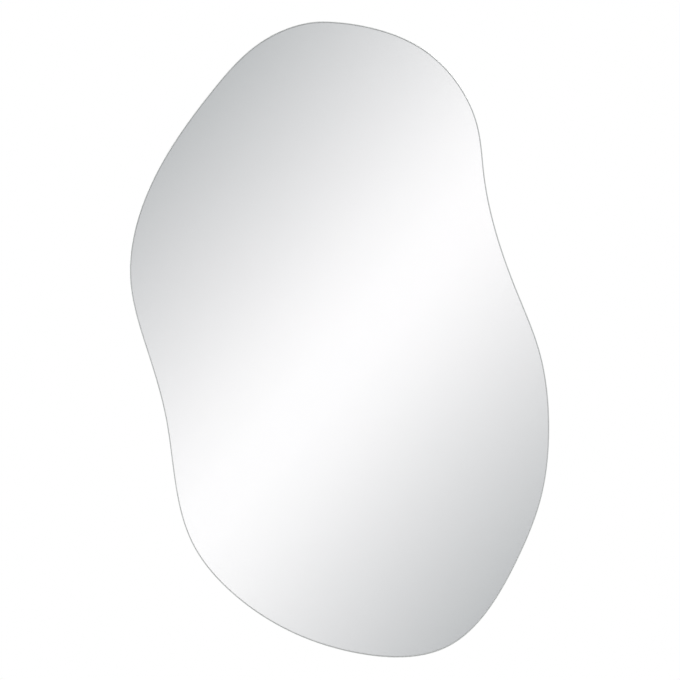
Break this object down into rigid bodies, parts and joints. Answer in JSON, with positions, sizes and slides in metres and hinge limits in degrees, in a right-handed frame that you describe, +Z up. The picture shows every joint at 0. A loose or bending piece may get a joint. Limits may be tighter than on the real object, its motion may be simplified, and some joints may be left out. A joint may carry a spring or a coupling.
{
  "type": "irregular wall mirror",
  "caption": "Frameless wall mirror with a free-form pebble outline, a polished edge, a backing board, D-ring hangers and wall bumpers.",
  "frame": {"origin": "centre of the mirror's bounding box", "axes": "+Z up along the height, -Y the way the glass faces, +Y towards the wall, +X to the right as seen from the front"},
  "size_m": [0.6, 0.025, 0.91],
  "materials": {
    "glass": "clear float glass, faintly green, with a polished edge",
    "silver": "bright silver seen through the glass",
    "back_paint": "matt grey protective paint over the silver",
    "safety_film": "off-white woven polypropylene film",
    "foam_tape": "white closed-cell foam",
    "mastic": "cured mirror adhesive",
    "fibreboard": "raw medium-density fibreboard with sanded faces",
    "zinc_steel": "zinc-plated steel, satin",
    "bumper": "soft translucent polyurethane"
  },
  "bodies": {
    "mirror": {"glass_pane": "glass", "silver_layer": "silver", "back_paint": "back_paint", "safety_film": "safety_film", "foam_tape_strips": "foam_tape", "mastic_beads": "mastic", "backing_board": "fibreboard", "upright_left_strap": "zinc_steel", "upright_left_screws": "zinc_steel", "upright_right_strap": "zinc_steel", "upright_right_screws": "zinc_steel", "sideways_upper_strap": "zinc_steel", "sideways_upper_screws": "zinc_steel", "sideways_lower_strap": "zinc_steel", "sideways_lower_screws": "zinc_steel", "top_bumper": "bumper", "right_bumper": "bumper", "bottom_bumper": "bumper", "left_bumper": "bumper"},
    "upright_left_d_ring": {"upright_left_ring": "zinc_steel"},
    "upright_right_d_ring": {"upright_right_ring": "zinc_steel"},
    "sideways_upper_d_ring": {"sideways_upper_ring": "zinc_steel"},
    "sideways_lower_d_ring": {"sideways_lower_ring": "zinc_steel"}
  },
  "joints": [
    {"name": "upright_left_ring_hinge", "type": "hinge", "parent": "mirror", "child": "upright_left_d_ring", "pos_m": [-0.116, 0.0091, 0.285], "axis": [-1, 0, 0], "range_deg": [-3, 172]},
    {"name": "upright_right_ring_hinge", "type": "hinge", "parent": "mirror", "child": "upright_right_d_ring", "pos_m": [0.124, 0.0091, 0.285], "axis": [-1, 0, 0], "range_deg": [-3, 172]},
    {"name": "sideways_upper_ring_hinge", "type": "hinge", "parent": "mirror", "child": "sideways_upper_d_ring", "pos_m": [-0.165, 0.0091, 0.102], "axis": [0, 0, -1], "range_deg": [-3, 172]},
    {"name": "sideways_lower_ring_hinge", "type": "hinge", "parent": "mirror", "child": "sideways_lower_d_ring", "pos_m": [-0.165, 0.0091, -0.118], "axis": [0, 0, -1], "range_deg": [-3, 172]}
  ]
}
